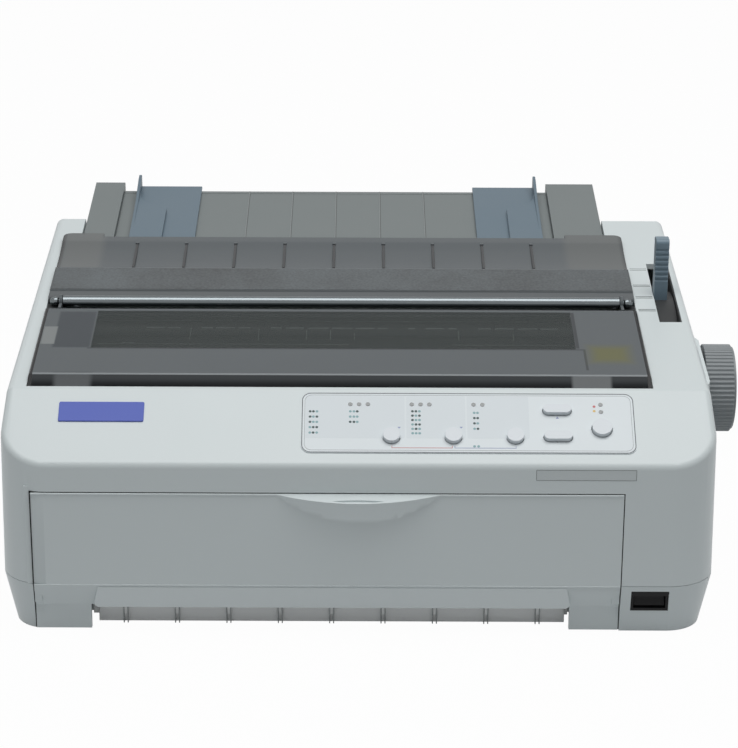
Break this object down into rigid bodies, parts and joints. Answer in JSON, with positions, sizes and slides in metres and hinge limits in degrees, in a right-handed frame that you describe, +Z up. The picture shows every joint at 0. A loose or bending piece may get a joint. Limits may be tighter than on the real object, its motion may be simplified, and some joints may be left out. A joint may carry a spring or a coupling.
{
  "type": "dot matrix printer",
  "caption": "Desktop impact printer with smoked print-works cover, rear paper guide, sloped control panel, side feed knob and hinged front cover.",
  "frame": {"origin": "centre of the overall footprint, on the surface the feet stand on", "axes": "+X to the right seen from the front, +Y to the rear where the paper guide hangs over, +Z up"},
  "size_m": [0.4142, 0.358, 0.176],
  "materials": {
    "pale_case": "fine satin texture",
    "grey_case": "fine satin texture",
    "smoked_plastic": "polished translucent smoke grey",
    "smoked_hatch": "finely textured translucent smoke grey",
    "guide_grey": "fine texture",
    "guide_blue": "smooth",
    "lever_blue": "smooth",
    "knob_grey": "fluted, satin",
    "foot_rubber": "matte",
    "platen_rubber": "smooth",
    "steel": "brushed",
    "black_plastic": "satin",
    "dark_plastic": "satin",
    "nameplate_violet": "satin, bare",
    "panel_white": "printed sheet",
    "button_white": "satin",
    "lamp_resin": "clear resin, unlit",
    "board_green": "solder mask",
    "gear_resin": "moulded",
    "belt_rubber": "toothed belt",
    "ribbon_fabric": "inked weave",
    "motor_metal": "black oxide",
    "rod_metal": "polished dark grey"
  },
  "bodies": {
    "case": {"upper_case": "pale_case", "lower_case": "grey_case", "rubber_feet": "foot_rubber", "case_screws": "steel", "nameplate": "nameplate_violet", "control_panel": "panel_white", "panel_board": "board_green", "indicator_lamps": "lamp_resin", "switch_bezel": "black_plastic", "front_cover_pins": "steel", "lower_paper_strip": "grey_case", "feed_motor": "motor_metal", "tractor_rail": "steel", "left_side_frame": "steel", "right_side_frame": "steel", "base_frame": "steel", "tension_unit": "dark_plastic", "carriage_rail": "steel", "carriage_belt": "belt_rubber", "carriage_motor": "motor_metal", "pulley_bracket": "steel", "ribbon_cartridge": "black_plastic", "ink_ribbon": "ribbon_fabric", "main_board": "board_green", "power_supply": "steel", "mains_inlet": "black_plastic", "port_connectors": "dark_plastic"},
    "font_button": {"font_button": "button_white"},
    "pitch_button": {"pitch_button": "button_white"},
    "tear_off_button": {"tear_off_button": "button_white"},
    "pause_button": {"pause_button": "button_white"},
    "load_eject_button": {"load_eject_button": "button_white"},
    "line_feed_button": {"line_feed_button": "button_white"},
    "rocker": {"power_rocker": "black_plastic"},
    "rear_cover": {"rear_cover": "smoked_hatch", "hinge_rod": "rod_metal"},
    "window_lid": {"window_lid": "smoked_plastic"},
    "front_cover": {"front_cover": "grey_case"},
    "paper_guide": {"paper_guide": "guide_grey"},
    "left_edge_guide": {"left_edge_guide": "guide_blue"},
    "right_edge_guide": {"right_edge_guide": "guide_blue"},
    "release_lever": {"release_lever": "lever_blue"},
    "platen": {"paper_feed_knob": "knob_grey", "platen_roller": "platen_rubber", "platen_shaft": "steel", "platen_gear": "gear_resin"},
    "motor_idler": {"motor_idler": "gear_resin"},
    "feed_pinion": {"feed_pinion": "gear_resin"},
    "tractor_idler": {"tractor_idler": "gear_resin"},
    "tractor_drive": {"tractor_gear": "gear_resin", "tractor_shaft": "steel"},
    "left_tractor": {"left_tractor": "dark_plastic"},
    "right_tractor": {"right_tractor": "dark_plastic"},
    "gap_lever": {"guide_shaft": "steel", "head_gap_lever": "lever_blue"},
    "carriage": {"carriage": "dark_plastic", "print_head": "motor_metal"},
    "motor_pulley": {"motor_pulley": "steel"},
    "belt_pulley": {"belt_pulley": "steel"},
    "ribbon_knob": {"ribbon_knob": "lever_blue"}
  },
  "joints": [
    {"name": "font_button_press", "type": "slide", "parent": "case", "child": "font_button", "axis": [0, 0.5292, -0.8485], "range_m": [0, 0.0012], "stiffness_N_per_m": 300, "springref_m": -0.001},
    {"name": "pitch_button_press", "type": "slide", "parent": "case", "child": "pitch_button", "axis": [0, 0.5292, -0.8485], "range_m": [0, 0.0012], "stiffness_N_per_m": 300, "springref_m": -0.001},
    {"name": "tear_off_button_press", "type": "slide", "parent": "case", "child": "tear_off_button", "axis": [0, 0.5292, -0.8485], "range_m": [0, 0.0012], "stiffness_N_per_m": 300, "springref_m": -0.001},
    {"name": "pause_button_press", "type": "slide", "parent": "case", "child": "pause_button", "axis": [0, 0.5292, -0.8485], "range_m": [0, 0.0012], "stiffness_N_per_m": 300, "springref_m": -0.001},
    {"name": "load_eject_button_press", "type": "slide", "parent": "case", "child": "load_eject_button", "axis": [0, 0.5292, -0.8485], "range_m": [0, 0.0012], "stiffness_N_per_m": 300, "springref_m": -0.001},
    {"name": "line_feed_button_press", "type": "slide", "parent": "case", "child": "line_feed_button", "axis": [0, 0.5292, -0.8485], "range_m": [0, 0.0012], "stiffness_N_per_m": 300, "springref_m": -0.001},
    {"name": "power_rocker_tilt", "type": "hinge", "parent": "case", "child": "rocker", "pos_m": [0.14975, -0.159, 0.0208], "axis": [1, 0, 0], "range_deg": [-6, 6]},
    {"name": "rear_cover_lift", "type": "slide", "parent": "case", "child": "rear_cover", "axis": [0, 0, 1], "range_m": [0, 0.06]},
    {"name": "window_lid_swing", "type": "hinge", "parent": "rear_cover", "child": "window_lid", "pos_m": [-0.02065, -0.0175, 0.14293], "axis": [-1, 0, 0], "range_deg": [0, 100]},
    {"name": "front_cover_swing", "type": "hinge", "parent": "case", "child": "front_cover", "pos_m": [-0.02765, -0.161, 0.0185], "axis": [1, 0, 0], "range_deg": [0, 90]},
    {"name": "paper_guide_swing", "type": "hinge", "parent": "case", "child": "paper_guide", "pos_m": [-0.02065, 0.0924, 0.14708], "axis": [1, 0, 0], "range_deg": [0, 48]},
    {"name": "left_edge_guide_slide", "type": "slide", "parent": "paper_guide", "child": "left_edge_guide", "axis": [1, 0, 0], "range_m": [-0.009, 0.06]},
    {"name": "right_edge_guide_slide", "type": "slide", "parent": "paper_guide", "child": "right_edge_guide", "axis": [1, 0, 0], "range_m": [-0.06, 0.006]},
    {"name": "release_lever_swing", "type": "hinge", "parent": "case", "child": "release_lever", "pos_m": [0.16835, 0.002, 0.072], "axis": [1, 0, 0], "range_deg": [-23.5, 26]},
    {"name": "platen_spin", "type": "hinge", "parent": "case", "child": "platen", "pos_m": [-0.01065, -0.064, 0.1076], "axis": [1, 0, 0], "continuous": true},
    {"name": "motor_idler_spin", "type": "hinge", "parent": "case", "child": "motor_idler", "pos_m": [0.14785, -0.05061, 0.07526], "axis": [1, 0, 0], "continuous": true},
    {"name": "feed_pinion_spin", "type": "hinge", "parent": "case", "child": "feed_pinion", "pos_m": [0.14785, -0.0347, 0.05935], "axis": [1, 0, 0], "continuous": true},
    {"name": "tractor_idler_spin", "type": "hinge", "parent": "case", "child": "tractor_idler", "pos_m": [0.14785, -0.019, 0.1076], "axis": [1, 0, 0], "continuous": true},
    {"name": "tractor_spin", "type": "hinge", "parent": "case", "child": "tractor_drive", "pos_m": [-0.01065, 0.026, 0.1076], "axis": [1, 0, 0], "continuous": true},
    {"name": "left_tractor_slide", "type": "slide", "parent": "case", "child": "left_tractor", "axis": [1, 0, 0], "range_m": [-0.02, 0.07]},
    {"name": "right_tractor_slide", "type": "slide", "parent": "case", "child": "right_tractor", "axis": [1, 0, 0], "range_m": [-0.07, 0.03]},
    {"name": "head_gap_swing", "type": "hinge", "parent": "case", "child": "gap_lever", "pos_m": [-0.02065, -0.101, 0.082], "axis": [1, 0, 0], "range_deg": [-20, 20]},
    {"name": "carriage_slide", "type": "slide", "parent": "case", "child": "carriage", "axis": [1, 0, 0], "range_m": [0, 0.24]},
    {"name": "motor_pulley_spin", "type": "hinge", "parent": "case", "child": "motor_pulley", "pos_m": [0.11735, -0.105, 0.062], "axis": [0, 0, 1], "continuous": true},
    {"name": "belt_pulley_spin", "type": "hinge", "parent": "case", "child": "belt_pulley", "pos_m": [-0.16065, -0.105, 0.062], "axis": [0, 0, 1], "continuous": true},
    {"name": "ribbon_knob_turn", "type": "hinge", "parent": "case", "child": "ribbon_knob", "pos_m": [-0.13065, -0.114, 0.125], "axis": [0, 0, 1], "continuous": true}
  ],
  "couplings": [
    {"joint": "motor_idler_spin", "follows": "platen_spin", "ratio": -1.3333},
    {"joint": "feed_pinion_spin", "follows": "platen_spin", "ratio": 2.6667},
    {"joint": "tractor_idler_spin", "follows": "platen_spin", "ratio": -0.8},
    {"joint": "tractor_spin", "follows": "platen_spin", "ratio": 1},
    {"joint": "motor_pulley_spin", "follows": "carriage_slide", "rad_per_m": 125},
    {"joint": "belt_pulley_spin", "follows": "carriage_slide", "rad_per_m": 125}
  ]
}
